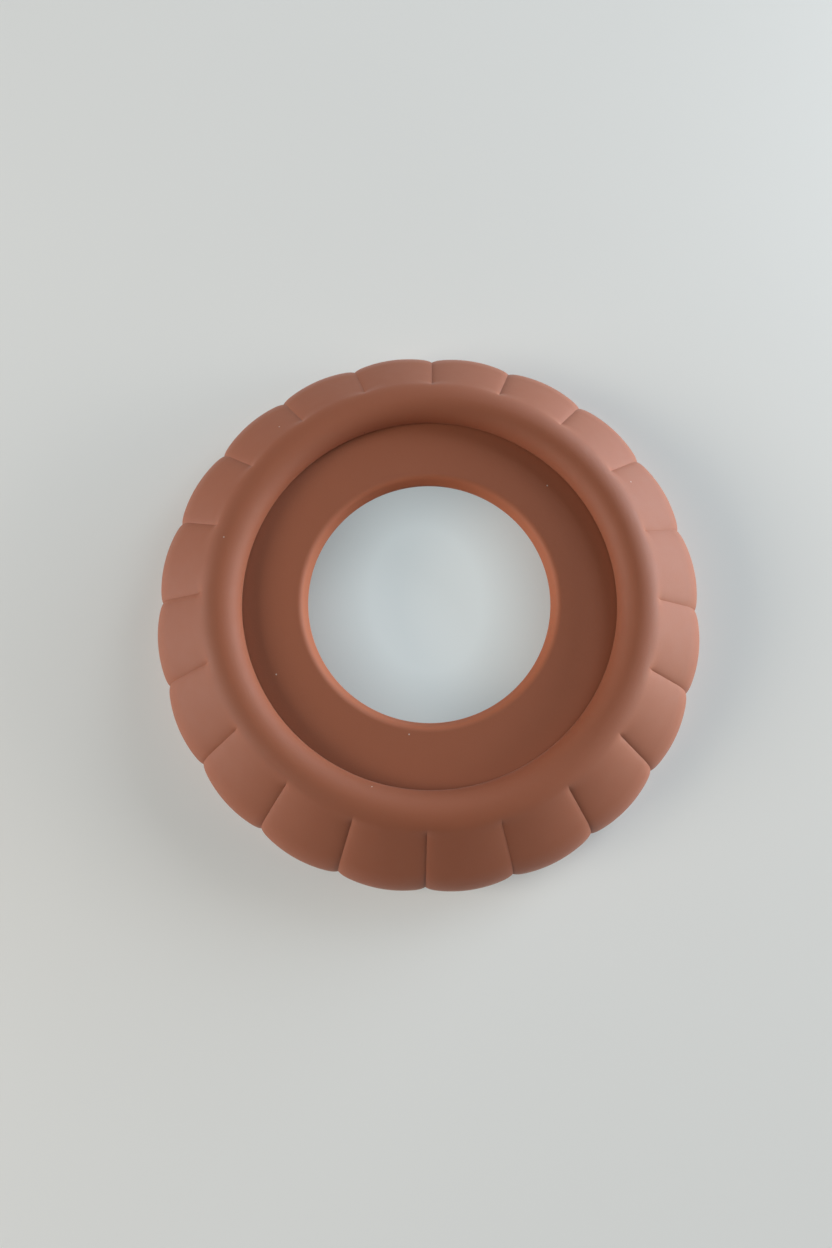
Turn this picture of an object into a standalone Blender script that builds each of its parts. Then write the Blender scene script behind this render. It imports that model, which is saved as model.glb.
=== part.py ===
"""A scalloped silicone teething ring, built from its separate mouldings.

A standalone Blender 4.5 script in metres, +Z up. The origin is the centre of the foot, on the
surface that the ring stands on. A soft scalloped cover is closed from below by a base ring. The two
trap a flat web with a central hole between them, and a firm hoop lies in the hollow.
"""

import math

import bpy

# Outside of the cover
OUTER_DIAMETER = 0.1100
HEIGHT = 0.0182
LOBE_COUNT = 20
SCALLOP_DEPTH = 0.0011
CREASE_RUN = 0.0024
CREST_DIAMETER = 0.0780
SHOULDER_RADIUS = 0.0050
SKIRT_RADIUS = 0.0090
WIDEST_HEIGHT = 0.0016
RIM_RADIUS = 0.0012

# Recess inside the ridge
RECESS_DIAMETER = 0.0704
RECESS_DEPTH = 0.0041
RIDGE_ROLL = 0.0034

# Walls of the cover
COVER_WALL = 0.0030
RIDGE_WALL = 0.0025

# Web with the central hole
HOLE_DIAMETER = 0.0464
WEB_THICKNESS = 0.0034
WEB_SEAT_WIDTH = 0.0022

# Base ring
BASE_FLOOR = 0.0016
REBATE_WALL = 0.0015
FOOT_ROUND = 0.0010

# Gap between pieces that touch
FIT_GAP = 0.0003

# Fineness of the facets
LOBE_STEPS = 6
ROUND_STEPS = 60
HOOP_SIDES = 10
ARC_STEPS = 4
HOLLOW_STEPS = 3
HALVINGS = 30
SHARP_ANGLE = math.radians(35)

# Colours, as linear red, green and blue, and how matte the surfaces are
TERRACOTTA = (0.350, 0.098, 0.042)
PALE_PLASTIC = (0.720, 0.690, 0.630)
SILICONE_ROUGHNESS = 0.6
PLASTIC_ROUGHNESS = 0.4

# Sizes that follow from those above
OUTER_RADIUS = OUTER_DIAMETER / 2
CREST_RADIUS = CREST_DIAMETER / 2
RECESS_RADIUS = RECESS_DIAMETER / 2
WEB_TOP = HEIGHT - RECESS_DEPTH
WEB_BOTTOM = WEB_TOP - WEB_THICKNESS
WEB_RIM_RADIUS = RECESS_RADIUS + WEB_SEAT_WIDTH
WEB_SEAT = WEB_BOTTOM - FIT_GAP
REBATE_RADIUS = WEB_RIM_RADIUS + FIT_GAP
BASE_WALL_RADIUS = REBATE_RADIUS + REBATE_WALL
PLUG_RADIUS = OUTER_RADIUS - COVER_WALL - FIT_GAP


def clear_scene():
    """Remove every object that the scene starts with."""
    for obj in list(bpy.data.objects):
        bpy.data.objects.remove(obj, do_unlink=True)


def new_collection(name):
    """A collection of its own under the scene's."""
    collection = bpy.data.collections.new(name)
    bpy.context.scene.collection.children.link(collection)
    return collection


def new_material(name, colour, roughness):
    """A plain dielectric finish."""
    material = bpy.data.materials.new(name)
    material.use_nodes = True
    shader = material.node_tree.nodes["Principled BSDF"]
    shader.inputs["Base Color"].default_value = (*colour, 1.0)
    shader.inputs["Roughness"].default_value = roughness
    shader.inputs["Metallic"].default_value = 0.0
    return material


def arc(centre, radii, start, end, steps=ARC_STEPS):
    """Points (radius, height) along an arc or quarter ellipse, with its angles in radians."""
    across, up = radii
    points = []
    for step in range(steps + 1):
        angle = start + (end - start) * step / steps
        points.append((centre[0] + across * math.cos(angle), centre[1] + up * math.sin(angle)))
    return points


def line(start, end, steps):
    """The points between two ends, without the ends themselves."""
    shares = [step / steps for step in range(1, steps)]
    return [tuple(a + (b - a) * share for a, b in zip(start, end)) for share in shares]


def tangent_angle(upper, upper_radius, lower, lower_radius):
    """Angle of the outward normal of the straight wall that runs over two rounds."""
    across = lower[0] - upper[0]
    down = lower[1] - upper[1]
    turn = math.acos((upper_radius - lower_radius) / math.hypot(across, down))
    return math.atan2(down, across) + turn


def wall_rounds(inset):
    """The centre and radius of the shoulder and of the skirt, set in from the outer surface.

    An inner round is the outer one's less the wall, and never less than the gap between pieces.
    """
    shoulder_radius = max(SHOULDER_RADIUS - inset, FIT_GAP)
    skirt_radius = max(SKIRT_RADIUS - inset, FIT_GAP)
    shoulder = (CREST_RADIUS, HEIGHT - inset - shoulder_radius)
    skirt = (OUTER_RADIUS - inset - skirt_radius, WIDEST_HEIGHT)
    return shoulder, shoulder_radius, skirt, skirt_radius


def sloping_wall(inset, steps):
    """The wall's section from the crest down to its widest line, set in by the given distance."""
    shoulder, shoulder_radius, skirt, skirt_radius = wall_rounds(inset)
    normal = tangent_angle(shoulder, shoulder_radius, skirt, skirt_radius)
    over = arc(shoulder, (shoulder_radius, shoulder_radius), math.pi / 2, normal, steps)
    under = arc(skirt, (skirt_radius, skirt_radius), normal, 0.0, steps)
    return over + line(over[-1], under[0], steps) + under


def crease_weight(height):
    """Share of the full crease depth at a height: none at the crest, full a short run below it."""
    run = (HEIGHT - height) / CREASE_RUN
    return 1.0 - (1.0 - min(max(run, 0.0), 1.0)) ** 2


def crease_cut(angle):
    """Depth cut into the wall at an angle: a parabola over each lobe that ends in sharp creases."""
    place = (angle * LOBE_COUNT / math.tau + 0.5) % 1.0
    return SCALLOP_DEPTH * (2.0 * place - 1.0) ** 2


def settle(obj):
    """Replace an object's mesh by what its modifiers make, shaded smooth between sharp edges."""
    graph = bpy.context.evaluated_depsgraph_get()
    mesh = bpy.data.meshes.new_from_object(
        obj.evaluated_get(graph), preserve_all_data_layers=True, depsgraph=graph
    )
    obj.modifiers.clear()
    obj.data = mesh
    mesh.shade_smooth()
    mesh.set_sharp_from_angle(angle=SHARP_ANGLE)


def turned(name, section, steps, collection, weights=None):
    """A closed section (radius, height), listed clockwise, turned about Z with a Screw modifier."""
    count = len(section)
    mesh = bpy.data.meshes.new(name)
    edges = [(i, (i + 1) % count) for i in range(count)]
    mesh.from_pydata([(radius, 0.0, height) for radius, height in section], edges, [])
    obj = bpy.data.objects.new(name, mesh)
    collection.objects.link(obj)
    if weights is not None:
        group = obj.vertex_groups.new(name="crease")
        for index, weight in enumerate(weights):
            group.add([index], weight, "REPLACE")
    screw = obj.modifiers.new("turn", "SCREW")
    screw.axis = "Z"
    screw.angle = math.tau
    screw.steps = steps
    screw.render_steps = steps
    screw.use_merge_vertices = False
    return obj


def cut_creases(mesh):
    """Move the outer wall's points in towards the axis, and keep the creases' edges sharp."""
    cuts = []
    for vertex in mesh.vertices:
        weight = sum(element.weight for element in vertex.groups)
        radius = math.hypot(vertex.co.x, vertex.co.y)
        cuts.append(weight * crease_cut(math.atan2(vertex.co.y, vertex.co.x)))
        vertex.co.xy *= 1.0 - cuts[-1] / radius
    for edge in mesh.edges:
        if min(cuts[index] for index in edge.vertices) > SCALLOP_DEPTH / 2:
            edge.use_edge_sharp = True


def make_cover(collection, material):
    """Scalloped cover: ridge, sloping lobed wall and skirt, hollow and open below."""
    ridge_half = CREST_RADIUS - RECESS_RADIUS
    outside = sloping_wall(0.0, ARC_STEPS)
    rim = (OUTER_RADIUS - RIM_RADIUS, FIT_GAP + RIM_RADIUS)
    outside += arc(rim, (RIM_RADIUS, RIM_RADIUS), 0.0, -math.pi / 2)
    inside = [(OUTER_RADIUS - COVER_WALL, FIT_GAP)]
    inside += reversed(sloping_wall(COVER_WALL, HOLLOW_STEPS))
    ridge_wall = RECESS_RADIUS + RIDGE_WALL
    inside += [(ridge_wall, HEIGHT - COVER_WALL), (ridge_wall, WEB_TOP + FIT_GAP)]
    recess = [(RECESS_RADIUS, WEB_TOP + FIT_GAP)]
    recess += arc((CREST_RADIUS, HEIGHT - RIDGE_ROLL), (ridge_half, RIDGE_ROLL), math.pi, math.pi / 2)
    section = outside + inside + recess[:-1]
    weights = [crease_weight(height) for _, height in outside] + [0.0] * (len(section) - len(outside))
    cover = turned("scalloped_cover", section, LOBE_COUNT * LOBE_STEPS, collection, weights)
    settle(cover)
    cut_creases(cover.data)
    cover.vertex_groups.clear()
    cover.data.materials.append(material)
    return cover


def make_web(collection, material):
    """Flat web that closes the recess, with a fully rounded lip round the central hole."""
    lip = WEB_THICKNESS / 2
    nose = (HOLE_DIAMETER / 2 + lip, WEB_TOP - lip)
    section = [(WEB_RIM_RADIUS, WEB_TOP), (WEB_RIM_RADIUS, WEB_BOTTOM)]
    section += arc(nose, (lip, lip), 1.5 * math.pi, 0.5 * math.pi, 2 * ARC_STEPS)
    web = turned("recess_web", section, ROUND_STEPS, collection)
    settle(web)
    web.data.materials.append(material)
    return web


def distance_to_side(point, start, end):
    """Distance from a point to the straight side between two others."""
    along = (end[0] - start[0], end[1] - start[1])
    offset = (point[0] - start[0], point[1] - start[1])
    share = (offset[0] * along[0] + offset[1] * along[1]) / (along[0] ** 2 + along[1] ** 2)
    share = min(max(share, 0.0), 1.0)
    return math.hypot(offset[0] - share * along[0], offset[1] - share * along[1])


def hoop_section():
    """Centre and radius of the hoop's round section, the largest that the hollow takes.

    It lies in the corner of the base's floor and wall. Its size is found by halving the range until
    it meets the cover's hollow as well, and it then clears all three by the fit gap.
    """
    hollow = sloping_wall(COVER_WALL, HOLLOW_STEPS)
    least, most = 0.0, HEIGHT
    for _ in range(HALVINGS):
        reach = (least + most) / 2
        centre = (BASE_WALL_RADIUS + reach, BASE_FLOOR + reach)
        if min(distance_to_side(centre, *side) for side in zip(hollow, hollow[1:])) > reach:
            least = reach
        else:
            most = reach
    return (BASE_WALL_RADIUS + least, BASE_FLOOR + least), least - FIT_GAP


def make_hoop(collection, material):
    """Firm hoop that keeps the soft ring round."""
    centre, radius = hoop_section()
    bpy.ops.mesh.primitive_torus_add(
        major_radius=centre[0],
        minor_radius=radius,
        major_segments=ROUND_STEPS,
        minor_segments=HOOP_SIDES,
        location=(0.0, 0.0, centre[1]),
    )
    hoop = bpy.context.object
    hoop.name = "core_hoop"
    hoop.data.name = "core_hoop"
    for holder in list(hoop.users_collection):
        holder.objects.unlink(hoop)
    collection.objects.link(hoop)
    hoop.data.shade_smooth()
    hoop.data.materials.append(material)
    return hoop


def make_base(collection, material):
    """Base ring: flat foot that plugs the cover from below, and an inner wall that seats the web."""
    foot = (RECESS_RADIUS + FOOT_ROUND, FOOT_ROUND)
    section = [(REBATE_RADIUS, WEB_TOP), (BASE_WALL_RADIUS, WEB_TOP), (BASE_WALL_RADIUS, BASE_FLOOR)]
    section += [(PLUG_RADIUS, BASE_FLOOR), (PLUG_RADIUS, FIT_GAP), (PLUG_RADIUS - FIT_GAP, 0.0)]
    section += arc(foot, (FOOT_ROUND, FOOT_ROUND), 1.5 * math.pi, math.pi)
    section += [(RECESS_RADIUS, WEB_SEAT), (REBATE_RADIUS, WEB_SEAT)]
    base = turned("base_ring", section, ROUND_STEPS, collection)
    settle(base)
    base.data.materials.append(material)
    return base


def main():
    clear_scene()
    ring = new_collection("teething_ring")
    silicone = new_material("terracotta_silicone", TERRACOTTA, SILICONE_ROUGHNESS)
    plastic = new_material("pale_plastic", PALE_PLASTIC, PLASTIC_ROUGHNESS)
    make_cover(ring, silicone)
    make_web(ring, silicone)
    make_base(ring, silicone)
    make_hoop(ring, plastic)


main()
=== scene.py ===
"""Finished surfaces, silicone finish and studio of a scalloped teething ring.

Laid out as an add-on and run as a script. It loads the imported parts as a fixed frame, works out
each moulding's fine surface with numpy, gives it a procedural finish, and sets the table, the lamps
and the camera. Lengths are metres, +Z is up, and the origin is the centre of the ring's foot.
"""

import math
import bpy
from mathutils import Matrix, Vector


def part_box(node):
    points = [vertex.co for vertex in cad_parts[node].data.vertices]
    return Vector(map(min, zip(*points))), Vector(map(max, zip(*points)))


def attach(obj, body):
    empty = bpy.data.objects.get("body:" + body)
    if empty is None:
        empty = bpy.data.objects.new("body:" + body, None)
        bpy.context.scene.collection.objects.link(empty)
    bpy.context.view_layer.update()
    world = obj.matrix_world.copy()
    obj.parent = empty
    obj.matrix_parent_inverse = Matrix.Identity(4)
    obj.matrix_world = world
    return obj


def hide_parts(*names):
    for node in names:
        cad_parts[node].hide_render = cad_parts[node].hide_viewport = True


bl_info = {
    "name": "Scalloped Teething Ring",
    "version": (1, 0, 0),
    "blender": (4, 5, 0),
    "location": "View3D > Sidebar > Teether",
    "description": "Builds the moulded surfaces, the silicone finish and the studio of a teething ring",
    "category": "Add Mesh",
}

import bpy
import numpy as np
from bpy.props import FloatProperty, FloatVectorProperty, IntProperty, PointerProperty
from mathutils import Matrix, Vector

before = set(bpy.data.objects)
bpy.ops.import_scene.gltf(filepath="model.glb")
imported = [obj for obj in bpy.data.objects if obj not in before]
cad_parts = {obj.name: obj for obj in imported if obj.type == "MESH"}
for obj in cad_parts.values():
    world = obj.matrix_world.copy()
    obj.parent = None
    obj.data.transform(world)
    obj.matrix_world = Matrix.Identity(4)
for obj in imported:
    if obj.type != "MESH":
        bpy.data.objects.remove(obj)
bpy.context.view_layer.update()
IMAGE_HEIGHT = 1248
SENSOR_HEIGHT = 36.0
SHARP_ANGLE = math.radians(40)
LAMP_DISTANCE = 1.0
SILICONE = "moulded_silicone"
TABLE_REACH = 2.0
TABLE_CELLS = 8
CAMERA_NEAR = 0.01

# The colour mix node's first and second colour and its result, whose names its other kinds share
MIX_FIRST, MIX_SECOND, MIX_RESULT = 6, 7, 2

# Share of a speck's radius inside its soft edge, dark specks for each pale one, and how far the
# dark ones' pattern is moved against the pale ones'
SPECK_HEART = 0.6
SOIL_SHARE = 1 / 3
SOIL_SHIFT = 0.7

# How far red, green and blue light travel under the silicone's skin, against each other
SCATTER = (1.0, 0.35, 0.2)

# Spacing of the points along a section: on the moulded rounds, on plain faces and in the hollow
ROUND_SPACING = 0.0002
PLAIN_SPACING = 0.0004
HOLLOW_SPACING = 0.0008

# Points across a lobe, round a plain moulding, and round the hoop and its section
LOBE_COLUMNS = 24
MOULDING_COLUMNS = 360
HOOP_COLUMNS = 240
HOOP_SIDES = 40
ARC_POINTS = 60

# Power of the curve that makes the narrow groove along a crease
GROOVE_POWER = 12

# Each lamp's bearing from the right of the view and its height in degrees, its width and height in
# metres, and its tint
LAMPS = {
    "window": (24.0, 8.5, 0.90, 0.30, (0.73, 0.87, 1.00)),
    "fanlight": (42.0, 29.0, 0.55, 0.28, (0.89, 0.95, 1.00)),
    "sidelight": (-3.0, 11.0, 0.45, 0.38, (1.00, 0.89, 0.77)),
    "room": (183.0, 7.0, 0.70, 0.24, (0.73, 0.87, 1.00)),
    "lamp": (191.0, 28.0, 0.60, 0.30, (1.00, 0.88, 0.75)),
}


def reach(node):
    """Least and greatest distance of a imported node's points from the ring's axis."""
    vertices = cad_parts[node].data.vertices
    points = np.empty(3 * len(vertices))
    vertices.foreach_get("co", points)
    distance = np.hypot(points[0::3], points[1::3])
    return float(distance.min()), float(distance.max())


def span(node):
    """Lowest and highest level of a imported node."""
    low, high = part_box(node)
    return low.z, high.z


RECESS_RADIUS, OUTER_RADIUS = reach("scalloped_cover")
RIM_LEVEL, CREST_LEVEL = span("scalloped_cover")
HOLE_RADIUS, WEB_RIM_RADIUS = reach("recess_web")
WEB_BOTTOM, WEB_TOP = span("recess_web")
BASE_RADIUS, PLUG_RADIUS = reach("base_ring")
FOOT_LEVEL, REBATE_LEVEL = span("base_ring")
HOOP_INNER, HOOP_OUTER = reach("core_hoop")
HOOP_BOTTOM, HOOP_TOP = span("core_hoop")

# Distances from its middle over which the painted pool of light, the brighter patch of the table in the
# hole, fades
PAINTED_PATCH_START = HOLE_RADIUS / 2
PAINTED_PATCH_END = RECESS_RADIUS * 3 / 4


class TeetherSizes(bpy.types.PropertyGroup):
    """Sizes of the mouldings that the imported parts' outlines don't give by themselves."""

    lobes: IntProperty(name="Lobes", description="Lobes round the outer wall", default=20, min=3)
    lobe_depth: FloatProperty(
        name="Lobe Depth",
        description="Depth of a crease below the middle of its lobes",
        default=0.0011,
        unit="LENGTH",
    )
    groove_share: FloatProperty(
        name="Groove Share",
        description="Share of that depth that lies in a narrow groove along the crease",
        default=0.30,
        subtype="FACTOR",
        min=0.0,
        max=1.0,
    )
    crease_run: FloatProperty(
        name="Crease Run",
        description="Drop below the crest over which a crease comes to its full depth",
        default=0.0026,
        unit="LENGTH",
    )
    crest_radius: FloatProperty(
        name="Crest Radius",
        description="Distance of the ridge's crest from the axis",
        default=0.0391,
        unit="LENGTH",
    )
    shoulder_radius: FloatProperty(
        name="Shoulder Radius",
        description="Round from the crest into the sloping wall",
        default=0.0055,
        unit="LENGTH",
    )
    skirt_radius: FloatProperty(
        name="Skirt Radius",
        description="Round from the sloping wall into its widest line",
        default=0.0115,
        unit="LENGTH",
    )
    widest_level: FloatProperty(
        name="Widest Level",
        description="Level of the wall's widest line above the table",
        default=0.0016,
        unit="LENGTH",
    )
    rim_radius: FloatProperty(
        name="Rim Radius",
        description="Round under the widest line",
        default=0.0012,
        unit="LENGTH",
    )
    ridge_roll: FloatProperty(
        name="Ridge Roll",
        description="Height of the round from the crest into the recess",
        default=0.0038,
        unit="LENGTH",
    )
    cover_wall: FloatProperty(
        name="Cover Wall",
        description="Thickness of the cover's sloping wall",
        default=0.0030,
        unit="LENGTH",
    )
    ridge_wall: FloatProperty(
        name="Ridge Wall",
        description="Thickness of the recess wall",
        default=0.0025,
        unit="LENGTH",
    )
    rebate_wall: FloatProperty(
        name="Rebate Wall",
        description="Thickness of the base's wall round the web",
        default=0.0015,
        unit="LENGTH",
    )
    base_floor: FloatProperty(
        name="Base Floor",
        description="Thickness of the base's floor",
        default=0.0016,
        unit="LENGTH",
    )
    lip_brow: FloatProperty(
        name="Lip Brow",
        description="Round at the top of the lip about the hole",
        default=0.0013,
        unit="LENGTH",
    )
    lip_foot: FloatProperty(
        name="Lip Foot",
        description="Round at the bottom of the lip",
        default=0.0012,
        unit="LENGTH",
    )
    lip_lean: FloatProperty(
        name="Lip Lean",
        description="How far the brow stands back from the foot",
        default=0.0005,
        unit="LENGTH",
    )
    foot_round: FloatProperty(
        name="Foot Round",
        description="Round at the inner edge of the base's foot",
        default=0.0010,
        unit="LENGTH",
    )
    edge_round: FloatProperty(
        name="Edge Round",
        description="Small round on the mouldings' plain edges",
        default=0.00025,
        unit="LENGTH",
    )
    fit_gap: FloatProperty(
        name="Fit Gap",
        description="Gap between mouldings that touch",
        default=0.0003,
        unit="LENGTH",
    )


class TeetherFinish(bpy.types.PropertyGroup):
    """Colours and grain of the silicone, the hoop's plastic and the table."""

    silicone: FloatVectorProperty(
        name="Silicone",
        description="Terracotta colour of the silicone",
        default=(0.324, 0.104, 0.052),
        subtype="COLOR",
        size=3,
    )
    silicone_shade: FloatVectorProperty(
        name="Silicone Shade",
        description="Darker tone that the silicone drifts to",
        default=(0.310, 0.0995, 0.049),
        subtype="COLOR",
        size=3,
    )
    # Painted light: a lighter tone put on the lip of the hole in place of the light that falls on and
    # comes through its thin edge
    painted_lip_light: FloatVectorProperty(
        name="Thin Silicone",
        description="Lighter tone at the lip of the hole, where light comes through the thin edge",
        default=(0.465, 0.150, 0.074),
        subtype="COLOR",
        size=3,
    )
    dust: FloatVectorProperty(
        name="Dust",
        description="Colour of the dust specks that cling to the silicone",
        default=(0.62, 0.56, 0.52),
        subtype="COLOR",
        size=3,
    )
    hoop: FloatVectorProperty(
        name="Hoop",
        description="Uncoloured plastic of the hoop inside",
        default=(0.72, 0.69, 0.63),
        subtype="COLOR",
        size=3,
    )
    hoop_shade: FloatVectorProperty(
        name="Hoop Shade",
        description="Darker tone of the swirls in the hoop's plastic",
        default=(0.67, 0.64, 0.585),
        subtype="COLOR",
        size=3,
    )
    table: FloatVectorProperty(
        name="Table",
        description="Pale table top",
        default=(0.80, 0.795, 0.78),
        subtype="COLOR",
        size=3,
    )
    table_shade: FloatVectorProperty(
        name="Table Shade",
        description="Slightly darker tone that the table drifts to",
        default=(0.776, 0.771, 0.757),
        subtype="COLOR",
        size=3,
    )
    table_glow: FloatVectorProperty(
        name="Table Glow Colour",
        description="Colour of the table's even glow",
        default=(0.86, 0.96, 0.98),
        subtype="COLOR",
        size=3,
    )
    table_fade: FloatVectorProperty(
        name="Table Fade",
        description="Distances from the axis at which the table starts to melt and has melted away",
        default=(0.23, 0.40),
        size=2,
        subtype="XYZ_LENGTH",
    )
    backdrop: FloatVectorProperty(
        name="Backdrop",
        description="Colour seen beyond the table",
        default=(0.60, 0.61, 0.61),
        subtype="COLOR",
        size=3,
    )
    soil: FloatVectorProperty(
        name="Soil",
        description="Colour of the few dark specks",
        default=(0.05, 0.03, 0.02),
        subtype="COLOR",
        size=3,
    )
    # Where the painted light on the lip of the hole fades out
    painted_lip_light_fade: FloatVectorProperty(
        name="Lip Fade",
        description="Distances from the hole at which the lighter tone starts to fade and is gone",
        default=(0.0007, 0.0018),
        size=2,
        subtype="XYZ_LENGTH",
        precision=6,
    )
    dust_size: FloatProperty(
        name="Dust Size",
        description="Radius of a dust speck",
        default=0.00016,
        unit="LENGTH",
        precision=6,
    )
    dust_spacing: FloatProperty(
        name="Dust Spacing",
        description="Side of the patch that holds at most one speck of dust",
        default=0.009,
        unit="LENGTH",
    )
    dust_share: FloatProperty(
        name="Dust Share",
        description="Share of those patches that hold a speck",
        default=0.06,
        subtype="FACTOR",
        min=0.0,
        max=1.0,
    )
    grain: FloatProperty(
        name="Grain",
        description="Depth of the fine matte grain that the mould leaves",
        default=0.00002,
        unit="LENGTH",
        precision=6,
    )
    grain_fineness: FloatProperty(
        name="Grain Fineness", description="Grains of the mould's texture in a metre", default=4200.0
    )
    cloud_fineness: FloatProperty(
        name="Cloud Fineness", description="Patches of more and less gloss in a metre", default=420.0
    )
    drift_fineness: FloatProperty(
        name="Drift Fineness", description="Patches of lighter and darker tone in a metre", default=70.0
    )
    roughness: FloatVectorProperty(
        name="Roughness",
        description="Roughness of the silicone where it is glossiest and where it is most matte",
        default=(0.60, 0.70),
        size=2,
    )
    refraction: FloatProperty(
        name="Refraction", description="Refractive index of the silicone", default=1.5
    )
    swirl_fineness: FloatProperty(
        name="Swirl Fineness", description="Swirls of tone in a metre of the hoop", default=160.0
    )
    hoop_roughness: FloatVectorProperty(
        name="Hoop Roughness",
        description="Roughness of the hoop where it is glossiest and where it is most matte",
        default=(0.34, 0.44),
        size=2,
    )
    haze_fineness: FloatProperty(
        name="Haze Fineness", description="Patches of tone in a metre of the table", default=14.0
    )
    table_roughness: FloatProperty(
        name="Table Roughness",
        description="Roughness of the table top",
        default=0.55,
        subtype="FACTOR",
        min=0.0,
        max=1.0,
    )
    gloss: FloatProperty(
        name="Gloss",
        description="Strength of the silicone's reflection, where a half is plain",
        default=0.5,
        subtype="FACTOR",
        min=0.0,
        max=1.0,
    )
    bloom: FloatProperty(
        name="Bloom",
        description="Share of the pale bloom that shows on slanting surfaces",
        default=0.08,
        subtype="FACTOR",
        min=0.0,
        max=1.0,
    )
    bloom_spread: FloatProperty(
        name="Bloom Spread",
        description="How far the bloom reaches in from the edge of the view",
        default=0.30,
        subtype="FACTOR",
        min=0.0,
        max=1.0,
    )
    translucency: FloatProperty(
        name="Translucency",
        description="Share of the light that goes under the silicone's skin",
        default=0.1,
        subtype="FACTOR",
        min=0.0,
        max=1.0,
    )
    translucency_depth: FloatProperty(
        name="Translucency Depth",
        description="How deep that light goes",
        default=0.0010,
        unit="LENGTH",
    )


class TeetherStage(bpy.types.PropertyGroup):
    """Camera of the photograph, and the brightness of the lamps."""

    turn: FloatProperty(
        name="Turn",
        description="Turn of the view about the ring's axis",
        default=math.radians(-8.16),
        subtype="ANGLE",
    )
    tilt: FloatProperty(
        name="Tilt",
        description="Lean of the view away from straight down",
        default=math.radians(10.14),
        subtype="ANGLE",
    )
    distance: FloatProperty(
        name="Distance",
        description="Distance from the camera to the point on the table that it looks at",
        default=0.1458,
        unit="LENGTH",
    )
    aim: FloatVectorProperty(
        name="Aim",
        description="That point, to the right of and beyond the ring's axis in the view",
        default=(-0.00254, -0.00237),
        size=2,
        subtype="XYZ_LENGTH",
    )
    focal_pixels: FloatProperty(
        name="Focal Length in Pixels",
        description="Focal length of the view, in pixels of the photograph",
        default=702.0,
    )
    window: FloatProperty(
        name="Window", description="Power of the low window on the right", default=10.4, unit="POWER"
    )
    fanlight: FloatProperty(
        name="Fanlight", description="Power of the window's upper part", default=3.8, unit="POWER"
    )
    sidelight: FloatProperty(
        name="Sidelight", description="Power of the warm lamp on the right", default=5.3, unit="POWER"
    )
    room: FloatProperty(
        name="Room", description="Power of the low light on the left", default=2.7, unit="POWER"
    )
    lamp: FloatProperty(
        name="Lamp", description="Power of the warm lamp on the left", default=6.6, unit="POWER"
    )
    ambient: FloatProperty(name="Ambient", description="Even light from all round", default=0.0)
    glow: FloatProperty(
        name="Table Glow",
        description="Share of the table's paleness that doesn't depend on the lamps",
        default=0.25,
        subtype="FACTOR",
        min=0.0,
        max=1.0,
    )
    # Painted light: a brighter pool of glow on the table in the hole, in place of the light that falls
    # there
    hole_painted_light: FloatProperty(
        name="Glow in the Hole",
        description="The same share where the table shows through the middle of the ring",
        default=0.55,
        subtype="FACTOR",
        min=0.0,
        max=1.0,
    )
    painted_patch_width: FloatProperty(
        name="Glow Width",
        description="Width of the brighter patch in the hole, as a share of its length",
        default=0.75,
        subtype="FACTOR",
        min=0.0,
        max=1.0,
    )
    painted_patch_shift: FloatProperty(
        name="Glow Shift",
        description="How far that patch lies beyond the ring's axis",
        default=0.00307,
        unit="LENGTH",
    )


def arc(centre, radii, start, end, count=ARC_POINTS):
    """Points centre + radii * (cos a, sin a) for angles a spread evenly, in degrees."""
    angle = np.radians(np.linspace(start, end, count))
    return np.column_stack((centre[0] + radii[0] * np.cos(angle), centre[1] + radii[1] * np.sin(angle)))


def corner(at, before, after, size, count=4):
    """A rounded corner: a quadratic curve that leaves and meets both sides at the given distance."""
    at, before, after = np.array(at), np.array(before), np.array(after)
    start = at + size * (before - at) / np.linalg.norm(before - at)
    end = at + size * (after - at) / np.linalg.norm(after - at)
    t = np.linspace(0.0, 1.0, count)[:, None]
    return (1 - t) ** 2 * start + 2 * t * (1 - t) * at + t**2 * end


def rounded_path(points, size):
    """An open path of straight sides with each inner corner rounded to the same small size."""
    parts = [np.array(points[:1])]
    parts += [corner(b, a, c, size) for a, b, c in zip(points, points[1:], points[2:])]
    parts.append(np.array(points[-1:]))
    return np.concatenate(parts)


def even(path, spacing):
    """A path's points spread at an even spacing along its length."""
    steps = np.linalg.norm(np.diff(path, axis=0), axis=1)
    length = np.concatenate(([0.0], np.cumsum(steps)))
    count = max(2, int(round(length[-1] / spacing)) + 1)
    places = np.linspace(0.0, length[-1], count)
    return np.column_stack([np.interp(places, length, path[:, axis]) for axis in (0, 1)])


def wall_normal(upper, upper_radius, lower, lower_radius):
    """Outward angle, in degrees, of the straight wall that touches two rounds from outside."""
    across, down = lower[0] - upper[0], lower[1] - upper[1]
    turn = math.acos((upper_radius - lower_radius) / math.hypot(across, down))
    return math.degrees(math.atan2(down, across) + turn)


def sloping_wall(sizes, inset):
    """Section from the crest to the widest line: shoulder arc, straight slope, skirt arc.

    The inner face is the same section set in by the wall, so its arcs share the outer ones' centres.
    """
    shoulder_radius = sizes.shoulder_radius - inset
    skirt_radius = sizes.skirt_radius - inset
    shoulder = (sizes.crest_radius, CREST_LEVEL - sizes.shoulder_radius)
    skirt = (OUTER_RADIUS - sizes.skirt_radius, sizes.widest_level)
    normal = wall_normal(shoulder, shoulder_radius, skirt, skirt_radius)
    over = arc(shoulder, (shoulder_radius, shoulder_radius), 90, normal)
    under = arc(skirt, (skirt_radius, skirt_radius), normal, 0)
    return np.concatenate((over, under))


def lobe_angles(lobes, columns):
    """Angles round the ring, crowded towards the creases.

    Across a lobe the angle from its middle is the half lobe times the sine of a quarter turn.
    """
    across = np.sin(0.5 * np.pi * np.linspace(-1.0, 1.0, columns, endpoint=False))
    middles = np.arange(lobes)[:, None]
    return ((middles + 0.5 * across) * 2 * np.pi / lobes).ravel()


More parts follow.
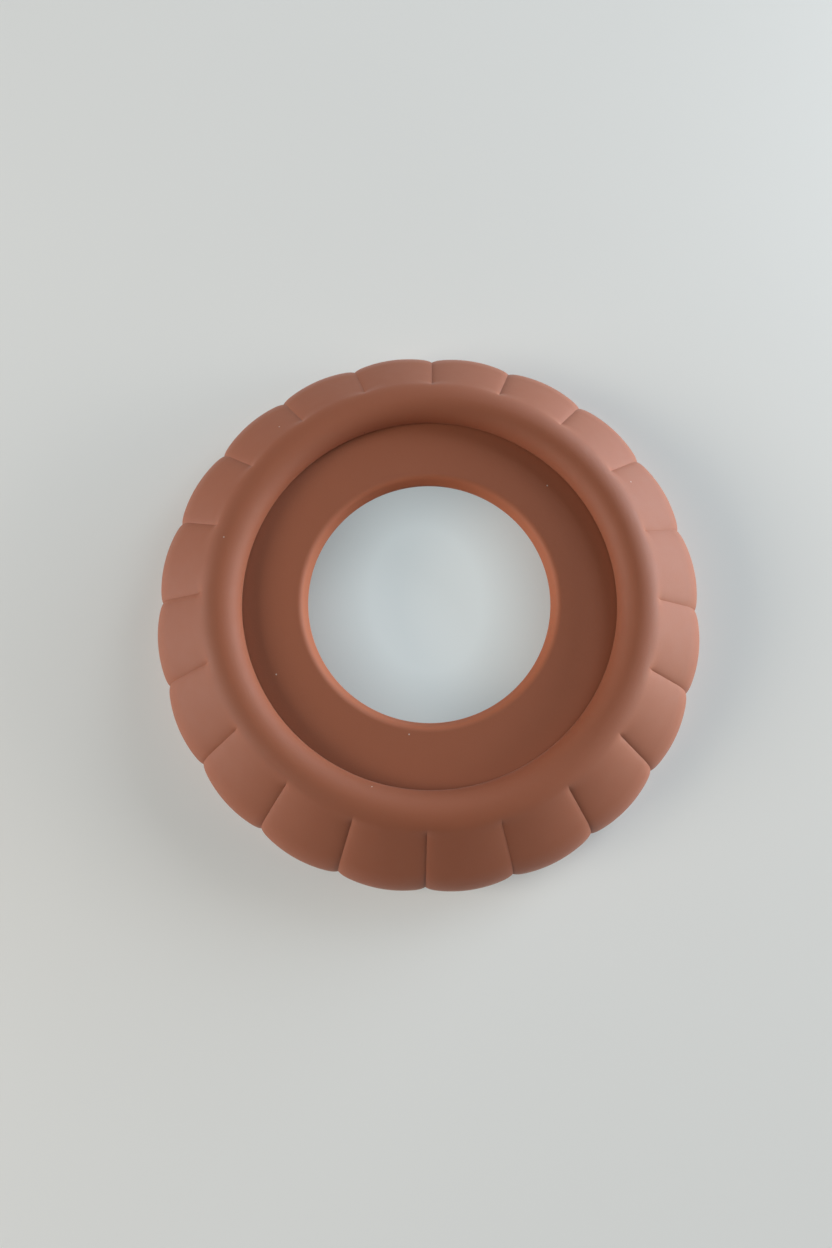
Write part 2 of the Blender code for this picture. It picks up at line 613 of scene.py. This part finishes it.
def lobe_cut(angle, share, sizes):
    """Cut into the wall at each level and angle: nothing mid-lobe and full at the creases.

    Most of it is a parabola across the lobe, times the level's share. The rest is a high power, times
    the share squared. It stays near nothing over the lobe and drops steeply beside the crease, so the
    crease is a narrow groove, and it fades out below the lobe's own fading.
    """
    place = angle * sizes.lobes / (2 * np.pi)
    across = np.abs(2.0 * (place - np.round(place)))
    lobe = (1.0 - sizes.groove_share) * across**2
    groove = sizes.groove_share * across**GROOVE_POWER
    share = share[:, None]
    return sizes.lobe_depth * (share * lobe + share**2 * groove)


def crease_share(level, sizes):
    """Share of the cut at a level: a smooth step from nothing at the crest to one further down."""
    run = np.clip((CREST_LEVEL - level) / sizes.crease_run, 0.0, 1.0)
    return run**2 * (3.0 - 2.0 * run)


def ring_mesh(name, radius, level, angle):
    """A closed ring: point (i, j) lies at radius[i, j] and level[i], turned by angle[j] about Z.

    The section runs down its outer side, so each face goes along the section first and round the
    axis second to point outwards. The UV map gives metres round the ring and along the section.
    """
    rows, columns = radius.shape
    x = radius * np.cos(angle)
    y = radius * np.sin(angle)
    z = np.broadcast_to(level[:, None], radius.shape)
    row = np.arange(rows)[:, None]
    column = np.arange(columns)[None, :]
    below = (row + 1) % rows
    beside = (column + 1) % columns
    corners = (row * columns + column, below * columns + column)
    corners += (below * columns + beside, row * columns + beside)
    faces = np.stack(np.broadcast_arrays(*corners), axis=-1).reshape(-1, 4)
    mesh = bpy.data.meshes.new(name)
    mesh.from_pydata(np.stack((x, y, z), axis=-1).reshape(-1, 3), [], faces)
    round_way = np.append(angle, angle[0] + 2 * np.pi) * float(radius.mean())
    middle = radius.mean(axis=1)
    steps = np.hypot(np.diff(middle, append=middle[0]), np.diff(level, append=level[0]))
    along = np.concatenate(([0.0], np.cumsum(steps)))
    u = np.stack((round_way[:-1], round_way[:-1], round_way[1:], round_way[1:]), axis=-1)
    v = np.stack((along[:-1], along[1:], along[1:], along[:-1]), axis=-1)
    uv = np.stack(np.broadcast_arrays(u[None, :, :], v[:, None, :]), axis=-1)
    mesh.uv_layers.new(name="surface").uv.foreach_set("vector", uv.astype(np.float32).ravel())
    mesh.polygons.foreach_set("use_smooth", np.ones(len(faces), dtype=bool))
    mesh.set_sharp_from_angle(angle=SHARP_ANGLE)
    mesh.update()
    return mesh


def even_angles(columns):
    """Angles spread evenly round the ring."""
    return np.linspace(0.0, 2 * np.pi, columns, endpoint=False)


def add_piece(mesh, node, material):
    """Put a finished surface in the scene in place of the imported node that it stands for."""
    piece = bpy.data.objects.new(mesh.name, mesh)
    bpy.context.scene.collection.objects.link(piece)
    mesh.materials.append(material)
    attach(piece, "root")
    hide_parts(node)


def cover_section(sizes):
    """Closed section of the cover, with the share of the lobes' cut at each of its points.

    Clockwise from the crest: sloping wall, rim, hollow, underside of the ridge, recess wall.
    """
    rim_centre = (OUTER_RADIUS - sizes.rim_radius, RIM_LEVEL + sizes.rim_radius)
    rim = arc(rim_centre, (sizes.rim_radius, sizes.rim_radius), 0, -90)
    outside = even(np.concatenate((sloping_wall(sizes, 0.0), rim)), ROUND_SPACING)
    hollow = sloping_wall(sizes, sizes.cover_wall)[::-1]
    foot = (OUTER_RADIUS - sizes.cover_wall, RIM_LEVEL)
    wall = RECESS_RADIUS + sizes.ridge_wall
    seat = WEB_TOP + sizes.fit_gap
    ceiling = (wall, CREST_LEVEL - sizes.cover_wall)
    inside = even(np.concatenate(([foot], hollow, [ceiling], [(wall, seat)])), HOLLOW_SPACING)
    roll_centre = (sizes.crest_radius, CREST_LEVEL - sizes.ridge_roll)
    roll_radii = (sizes.crest_radius - RECESS_RADIUS, sizes.ridge_roll)
    roll = arc(roll_centre, roll_radii, 180, 90)
    lip = corner((RECESS_RADIUS, seat), (wall, seat), roll[0], sizes.edge_round)
    recess = even(np.concatenate((lip, roll)), ROUND_SPACING)
    section = np.concatenate((outside, inside, recess[:-1]))
    share = np.zeros(len(section))
    share[: len(outside)] = crease_share(outside[:, 1], sizes)
    return section, share


def web_section(sizes):
    """Closed section of the web: flat top and bottom, rounded rim, and a lip round the hole.

    The lip is a round brow at the top and a small round at the foot, joined by the straight face that
    touches both. The foot comes in further than the brow, so the face leans out towards the viewer.
    """
    foot = (HOLE_RADIUS + sizes.lip_foot, WEB_BOTTOM + sizes.lip_foot)
    brow = (HOLE_RADIUS + sizes.lip_lean + sizes.lip_brow, WEB_TOP - sizes.lip_brow)
    lean = wall_normal((-brow[0], brow[1]), sizes.lip_brow, (-foot[0], foot[1]), sizes.lip_foot)
    under = arc(foot, (sizes.lip_foot, sizes.lip_foot), 270, 180 - lean)
    over = arc(brow, (sizes.lip_brow, sizes.lip_brow), 180 - lean, 90)
    lip = even(np.concatenate((under, over)), ROUND_SPACING / 2)
    corners = [(brow[0], WEB_TOP), (WEB_RIM_RADIUS, WEB_TOP)]
    corners += [(WEB_RIM_RADIUS, WEB_BOTTOM), (foot[0], WEB_BOTTOM)]
    outline = even(rounded_path(corners, sizes.edge_round), PLAIN_SPACING)
    return np.concatenate((outline[:-1], lip[:-1]))


def base_section(sizes):
    """Closed section of the base: wall with the web's rebate, floor, and a foot with round edges."""
    rebate = WEB_RIM_RADIUS + sizes.fit_gap
    wall = rebate + sizes.rebate_wall
    seat = WEB_BOTTOM - sizes.fit_gap
    round_radius = sizes.foot_round
    corners = [(rebate, seat), (rebate, REBATE_LEVEL), (wall, REBATE_LEVEL), (wall, sizes.base_floor)]
    corners += [(PLUG_RADIUS, sizes.base_floor), (PLUG_RADIUS, FOOT_LEVEL)]
    corners += [(BASE_RADIUS + round_radius, FOOT_LEVEL)]
    upper = rounded_path(corners, sizes.edge_round)
    foot_centre = (BASE_RADIUS + round_radius, FOOT_LEVEL + round_radius)
    foot = arc(foot_centre, (round_radius, round_radius), 270, 180)
    inner = rounded_path([foot[-1], (BASE_RADIUS, seat), (rebate, seat)], sizes.edge_round)
    return even(np.concatenate((upper, foot[1:], inner[1:])), PLAIN_SPACING)[:-1]


def turned(section, columns):
    """The arrays of a plain turned ring: the section's radii repeated at every angle."""
    angle = even_angles(columns)
    radius = np.repeat(section[:, :1], columns, axis=1)
    return radius, section[:, 1], angle


def add_node(tree, kind, inputs=None, **settings):
    """A shader node with its settings, and with plain values on its named inputs."""
    node = tree.nodes.new(kind)
    for key, value in settings.items():
        setattr(node, key, value)
    for key, value in (inputs or {}).items():
        node.inputs[key].default_value = value
    return node


def new_finish(name):
    """An empty node material with a Principled shader on its output."""
    material = bpy.data.materials.new(name)
    material.use_nodes = True
    tree = material.node_tree
    tree.nodes.clear()
    shader = add_node(tree, "ShaderNodeBsdfPrincipled")
    output = add_node(tree, "ShaderNodeOutputMaterial")
    tree.links.new(shader.outputs["BSDF"], output.inputs["Surface"])
    return material, tree, shader


def ramp(tree, value, ends, results, way="LINEAR"):
    """Value that goes between two results as the one on the socket goes between two ends."""
    limits = {"From Min": ends[0], "From Max": ends[1], "To Min": results[0], "To Max": results[1]}
    node = add_node(tree, "ShaderNodeMapRange", limits, interpolation_type=way)
    tree.links.new(value, node.inputs["Value"])
    return node.outputs["Result"]


def product(tree, first, second):
    """Product of the values on two sockets."""
    node = add_node(tree, "ShaderNodeMath", operation="MULTIPLY")
    tree.links.new(first, node.inputs[0])
    tree.links.new(second, node.inputs[1])
    return node.outputs[0]


def distance_of(tree, vector):
    """Length of the vector on a socket."""
    node = add_node(tree, "ShaderNodeVectorMath", operation="LENGTH")
    tree.links.new(vector, node.inputs[0])
    return node.outputs["Value"]


def mix_shaders(tree, share, first, second):
    """Mix of two shaders by a share given on a socket."""
    node = add_node(tree, "ShaderNodeMixShader")
    tree.links.new(share, node.inputs["Fac"])
    tree.links.new(first, node.inputs[1])
    tree.links.new(second, node.inputs[2])
    return node.outputs["Shader"]


def specks(tree, finish, shift, share):
    """Mask of sparse specks on the UV map: a dot at the heart of a few cells picked by chance."""
    cell, size = finish.dust_spacing, finish.dust_size
    surface = add_node(tree, "ShaderNodeUVMap", uv_map="surface")
    place = add_node(tree, "ShaderNodeMapping", {"Location": (shift, shift / 3, 0.0)})
    cells = add_node(tree, "ShaderNodeTexVoronoi", {"Scale": 1.0 / cell}, voronoi_dimensions="2D")
    tree.links.new(surface.outputs["UV"], place.inputs["Vector"])
    tree.links.new(place.outputs["Vector"], cells.inputs["Vector"])
    picked = add_node(tree, "ShaderNodeSeparateColor")
    tree.links.new(cells.outputs["Color"], picked.inputs["Color"])
    chosen = add_node(tree, "ShaderNodeMath", {1: 1.0 - share}, operation="GREATER_THAN")
    tree.links.new(picked.outputs["Red"], chosen.inputs[0])
    edge = (SPECK_HEART * size / cell, size / cell)
    near = ramp(tree, cells.outputs["Distance"], edge, (1.0, 0.0))
    return product(tree, chosen.outputs[0], near)


def mix_colour(tree, share, first, second):
    """Mix of two colours, each a socket or a plain colour, by a share given on a socket."""
    mix = add_node(tree, "ShaderNodeMix", data_type="RGBA")
    tree.links.new(share, mix.inputs["Factor"])
    for key, colour in ((MIX_FIRST, first), (MIX_SECOND, second)):
        if isinstance(colour, bpy.types.NodeSocket):
            tree.links.new(colour, mix.inputs[key])
        else:
            mix.inputs[key].default_value = (*colour, 1.0)
    return mix.outputs[MIX_RESULT]


def painted_lip_light_mask(tree, place, finish):
    """Mask of the painted light on the lip: one near the hole, falling to nothing with the distance from
    the ring's axis.
    """
    flat = add_node(tree, "ShaderNodeVectorMath", {1: (1.0, 1.0, 0.0)}, operation="MULTIPLY")
    tree.links.new(place, flat.inputs[0])
    out = distance_of(tree, flat.outputs["Vector"])
    fade = [HOLE_RADIUS + distance for distance in finish.painted_lip_light_fade]
    return ramp(tree, out, fade, (1.0, 0.0), "SMOOTHSTEP")


def silicone_finish(finish):
    """Matte terracotta silicone: soft drift of tone, fine moulded grain, faint bloom, sparse dust, and
    painted light on the lip of the hole.
    """
    if SILICONE in bpy.data.materials:
        return bpy.data.materials[SILICONE]
    material, tree, shader = new_finish(SILICONE)
    place = add_node(tree, "ShaderNodeTexCoord").outputs["Object"]
    drift = add_node(tree, "ShaderNodeTexNoise", {"Scale": finish.drift_fineness, "Detail": 4.0})
    grain = add_node(tree, "ShaderNodeTexNoise", {"Scale": finish.grain_fineness, "Detail": 2.0})
    cloud = add_node(tree, "ShaderNodeTexNoise", {"Scale": finish.cloud_fineness, "Detail": 3.0})
    for noise in (drift, grain, cloud):
        tree.links.new(place, noise.inputs["Vector"])
    tone = mix_colour(tree, drift.outputs["Fac"], finish.silicone, finish.silicone_shade)
    dust = specks(tree, finish, 0.0, finish.dust_share)
    soil = specks(tree, finish, SOIL_SHIFT, finish.dust_share * SOIL_SHARE)
    # Painted light: the lip of the hole gets a lighter tone in place of the light that falls on it
    lit = mix_colour(tree, painted_lip_light_mask(tree, place, finish), tone, finish.painted_lip_light)
    dusty = mix_colour(tree, dust, lit, finish.dust)
    soiled = mix_colour(tree, soil, dusty, finish.soil)
    tree.links.new(soiled, shader.inputs["Base Color"])
    matte = ramp(tree, cloud.outputs["Fac"], (0.0, 1.0), finish.roughness)
    tree.links.new(matte, shader.inputs["Roughness"])
    bump = add_node(tree, "ShaderNodeBump", {"Strength": 1.0, "Distance": finish.grain})
    tree.links.new(grain.outputs["Fac"], bump.inputs["Height"])
    tree.links.new(bump.outputs["Normal"], shader.inputs["Normal"])
    shader.inputs["IOR"].default_value = finish.refraction
    shader.inputs["Specular IOR Level"].default_value = finish.gloss
    shader.inputs["Subsurface Weight"].default_value = finish.translucency
    shader.inputs["Subsurface Radius"].default_value = SCATTER
    shader.inputs["Subsurface Scale"].default_value = finish.translucency_depth
    shader.inputs["Sheen Weight"].default_value = finish.bloom
    shader.inputs["Sheen Roughness"].default_value = finish.bloom_spread
    return material


def hoop_finish(finish):
    """Uncoloured moulded plastic with a faint swirl of tone."""
    material, tree, shader = new_finish("moulded_plastic")
    place = add_node(tree, "ShaderNodeTexCoord").outputs["Object"]
    swirls = {"Scale": finish.swirl_fineness, "Detail": 3.0, "Distortion": 1.2}
    swirl = add_node(tree, "ShaderNodeTexNoise", swirls)
    tree.links.new(place, swirl.inputs["Vector"])
    tone = mix_colour(tree, swirl.outputs["Fac"], finish.hoop, finish.hoop_shade)
    tree.links.new(tone, shader.inputs["Base Color"])
    matte = ramp(tree, swirl.outputs["Fac"], (0.0, 1.0), finish.hoop_roughness)
    tree.links.new(matte, shader.inputs["Roughness"])
    return material


def seen_rays(tree):
    """The rays that show the background: the viewer's own, and those mirrored or let through."""
    rays = add_node(tree, "ShaderNodeLightPath")
    seen = add_node(tree, "ShaderNodeMath", operation="MAXIMUM")
    tree.links.new(rays.outputs["Is Camera Ray"], seen.inputs[0])
    mirrored = add_node(tree, "ShaderNodeMath", operation="MAXIMUM")
    tree.links.new(rays.outputs["Is Glossy Ray"], mirrored.inputs[0])
    tree.links.new(rays.outputs["Is Transmission Ray"], mirrored.inputs[1])
    tree.links.new(mirrored.outputs[0], seen.inputs[1])
    return seen.outputs[0]


def glow_and_painted_light_share(tree, place, stage):
    """Share of the table's glow: more in an oval patch of painted light in the hole, fading to the plain
    share.
    """
    oval = {1: (1.0, stage.painted_patch_width, 1.0), 2: (0.0, -stage.painted_patch_width * stage.painted_patch_shift, 0.0)}
    patch = add_node(tree, "ShaderNodeVectorMath", oval, operation="MULTIPLY_ADD")
    tree.links.new(place, patch.inputs[0])
    out = distance_of(tree, patch.outputs["Vector"])
    return ramp(tree, out, (PAINTED_PATCH_START, PAINTED_PATCH_END), (stage.hole_painted_light, stage.glow))


def table_finish(finish, stage):
    """Pale matte table top with a barely uneven tone, and a glow that doesn't light the ring, even but
    for a patch of painted light in the hole.

    Only the viewer and reflections see the glow. Well outside the photograph's view the table melts into
    the backdrop in the same way, so no far edge shows.
    """
    material, tree, shader = new_finish("pale_table")
    place = add_node(tree, "ShaderNodeTexCoord").outputs["Object"]
    haze = add_node(tree, "ShaderNodeTexNoise", {"Scale": finish.haze_fineness, "Detail": 3.0})
    tree.links.new(place, haze.inputs["Vector"])
    tone = mix_colour(tree, haze.outputs["Fac"], finish.table, finish.table_shade)
    tree.links.new(tone, shader.inputs["Base Color"])
    shader.inputs["Roughness"].default_value = finish.table_roughness
    seen = seen_rays(tree)
    glow = add_node(tree, "ShaderNodeEmission", {"Color": (*finish.table_glow, 1.0)})
    # The glow is brighter in a painted pool of light in the hole, fading towards its rim
    glowing = product(tree, seen, glow_and_painted_light_share(tree, place, stage))
    lit = mix_shaders(tree, glowing, shader.outputs["BSDF"], glow.outputs["Emission"])
    away = ramp(tree, distance_of(tree, place), finish.table_fade, (0.0, 1.0), "SMOOTHSTEP")
    beyond = add_node(tree, "ShaderNodeEmission", {"Color": (*finish.backdrop, 1.0)})
    melted = mix_shaders(tree, product(tree, seen, away), lit, beyond.outputs["Emission"])
    tree.links.new(melted, tree.nodes["Material Output"].inputs["Surface"])
    return material


class TEETHER_OT_cover(bpy.types.Operator):
    """Build the scalloped cover with its ridge, lobed wall and recess wall"""

    bl_idname = "teether.cover"
    bl_label = "Scalloped Cover"

    def execute(self, context):
        sizes = context.scene.teether_sizes
        section, share = cover_section(sizes)
        angle = lobe_angles(sizes.lobes, LOBE_COLUMNS)
        radius = section[:, :1] - lobe_cut(angle, share, sizes)
        mesh = ring_mesh("cover_surface", radius, section[:, 1], angle)
        finish = silicone_finish(context.scene.teether_finish)
        add_piece(mesh, "scalloped_cover", finish)
        return {"FINISHED"}


class TEETHER_OT_web(bpy.types.Operator):
    """Build the flat web of the recess with its rounded lip"""

    bl_idname = "teether.web"
    bl_label = "Recess Web"

    def execute(self, context):
        section = web_section(context.scene.teether_sizes)
        mesh = ring_mesh("web_surface", *turned(section, MOULDING_COLUMNS))
        finish = silicone_finish(context.scene.teether_finish)
        add_piece(mesh, "recess_web", finish)
        return {"FINISHED"}


class TEETHER_OT_base(bpy.types.Operator):
    """Build the base ring with its flat foot and the wall that seats the web"""

    bl_idname = "teether.base"
    bl_label = "Base Ring"

    def execute(self, context):
        section = base_section(context.scene.teether_sizes)
        mesh = ring_mesh("base_surface", *turned(section, MOULDING_COLUMNS))
        finish = silicone_finish(context.scene.teether_finish)
        add_piece(mesh, "base_ring", finish)
        return {"FINISHED"}


class TEETHER_OT_hoop(bpy.types.Operator):
    """Build the firm hoop that lies inside the ring"""

    bl_idname = "teether.hoop"
    bl_label = "Core Hoop"

    def execute(self, context):
        centre = ((HOOP_INNER + HOOP_OUTER) / 2, (HOOP_BOTTOM + HOOP_TOP) / 2)
        radius = (HOOP_OUTER - HOOP_INNER) / 2
        section = arc(centre, (radius, radius), 90, -270, HOOP_SIDES + 1)[:-1]
        mesh = ring_mesh("hoop_surface", *turned(section, HOOP_COLUMNS))
        finish = hoop_finish(context.scene.teether_finish)
        add_piece(mesh, "core_hoop", finish)
        return {"FINISHED"}


def add_lamp(name, power, turn):
    """A soft box aimed at the ring, placed by its bearing from the right of the view."""
    bearing, rise, width, height, tint = LAMPS[name]
    data = bpy.data.lights.new(name, "AREA")
    data.shape = "RECTANGLE"
    data.size = width
    data.size_y = height
    data.energy = power
    data.color = tint
    lamp = bpy.data.objects.new(name, data)
    bpy.context.scene.collection.objects.link(lamp)
    bearing = math.radians(bearing) + turn
    rise = math.radians(rise)
    flat = LAMP_DISTANCE * math.cos(rise)
    away = Vector((flat * math.cos(bearing), flat * math.sin(bearing), LAMP_DISTANCE * math.sin(rise)))
    lamp.matrix_world = Matrix.Translation(away) @ away.to_track_quat("Z", "Y").to_matrix().to_4x4()


def backdrop(finish, stage):
    """A pale backdrop that only the viewer and reflections see, and an even light from all round."""
    world = bpy.data.worlds.new("studio")
    world.use_nodes = True
    tree = world.node_tree
    tree.nodes.clear()
    around = add_node(tree, "ShaderNodeBackground", {"Strength": stage.ambient})
    seen = add_node(tree, "ShaderNodeBackground", {"Color": (*finish.backdrop, 1.0), "Strength": 1.0})
    both = mix_shaders(tree, seen_rays(tree), around.outputs["Background"], seen.outputs["Background"])
    output = add_node(tree, "ShaderNodeOutputWorld")
    tree.links.new(both, output.inputs["Surface"])
    return world


class TEETHER_OT_stage(bpy.types.Operator):
    """Set the table, the lamps and the camera of the photograph"""

    bl_idname = "teether.stage"
    bl_label = "Studio"

    def execute(self, context):
        stage = context.scene.teether_stage
        scene = context.scene
        side = np.linspace(-TABLE_REACH, TABLE_REACH, TABLE_CELLS + 1)
        x, y = np.meshgrid(side, side)
        index = np.arange(x.size).reshape(x.shape)
        faces = np.stack((index[:-1, :-1], index[:-1, 1:], index[1:, 1:], index[1:, :-1]), axis=-1)
        mesh = bpy.data.meshes.new("table")
        points = np.stack((x, y, np.zeros_like(x)), axis=-1).reshape(-1, 3)
        mesh.from_pydata(points, [], faces.reshape(-1, 4))
        mesh.materials.append(table_finish(scene.teether_finish, stage))
        table = bpy.data.objects.new("table", mesh)
        scene.collection.objects.link(table)
        for name in LAMPS:
            add_lamp(name, getattr(stage, name), stage.turn)
        scene.world = backdrop(scene.teether_finish, stage)
        data = bpy.data.cameras.new("photograph")
        data.sensor_fit = "VERTICAL"
        data.sensor_height = SENSOR_HEIGHT
        data.lens = SENSOR_HEIGHT * stage.focal_pixels / IMAGE_HEIGHT
        data.clip_start = CAMERA_NEAR
        camera = bpy.data.objects.new("photograph", data)
        scene.collection.objects.link(camera)
        aim = Matrix.Translation((stage.aim[0], stage.aim[1], 0.0))
        lean = Matrix.Rotation(stage.tilt, 4, "X") @ Matrix.Translation((0.0, 0.0, stage.distance))
        camera.matrix_world = Matrix.Rotation(stage.turn, 4, "Z") @ aim @ lean
        scene.camera = camera
        scene.view_settings.view_transform = "Standard"
        return {"FINISHED"}


class TEETHER_PT_panel(bpy.types.Panel):
    """Sizes, colours and build steps of the teething ring"""

    bl_label = "Teething Ring"
    bl_idname = "TEETHER_PT_panel"
    bl_space_type = "VIEW_3D"
    bl_region_type = "UI"
    bl_category = "Teether"

    def draw(self, context):
        scene = context.scene
        for group in (scene.teether_sizes, scene.teether_finish, scene.teether_stage):
            box = self.layout.box()
            for name in group.bl_rna.properties.keys():
                if name not in {"rna_type", "name"}:
                    box.prop(group, name)
        for operator in OPERATORS:
            self.layout.operator(operator.bl_idname)


OPERATORS = (
    TEETHER_OT_cover,
    TEETHER_OT_web,
    TEETHER_OT_base,
    TEETHER_OT_hoop,
    TEETHER_OT_stage,
)
GROUPS = (TeetherSizes, TeetherFinish, TeetherStage)


def register():
    for item in GROUPS + OPERATORS + (TEETHER_PT_panel,):
        bpy.utils.register_class(item)
    bpy.types.Scene.teether_sizes = PointerProperty(type=TeetherSizes)
    bpy.types.Scene.teether_finish = PointerProperty(type=TeetherFinish)
    bpy.types.Scene.teether_stage = PointerProperty(type=TeetherStage)


def unregister():
    del bpy.types.Scene.teether_stage
    del bpy.types.Scene.teether_finish
    del bpy.types.Scene.teether_sizes
    for item in reversed(GROUPS + OPERATORS + (TEETHER_PT_panel,)):
        bpy.utils.unregister_class(item)


def main():
    register()
    bpy.ops.teether.cover()
    bpy.ops.teether.web()
    bpy.ops.teether.base()
    bpy.ops.teether.hoop()
    bpy.ops.teether.stage()


if __name__ == "__main__":
    main()
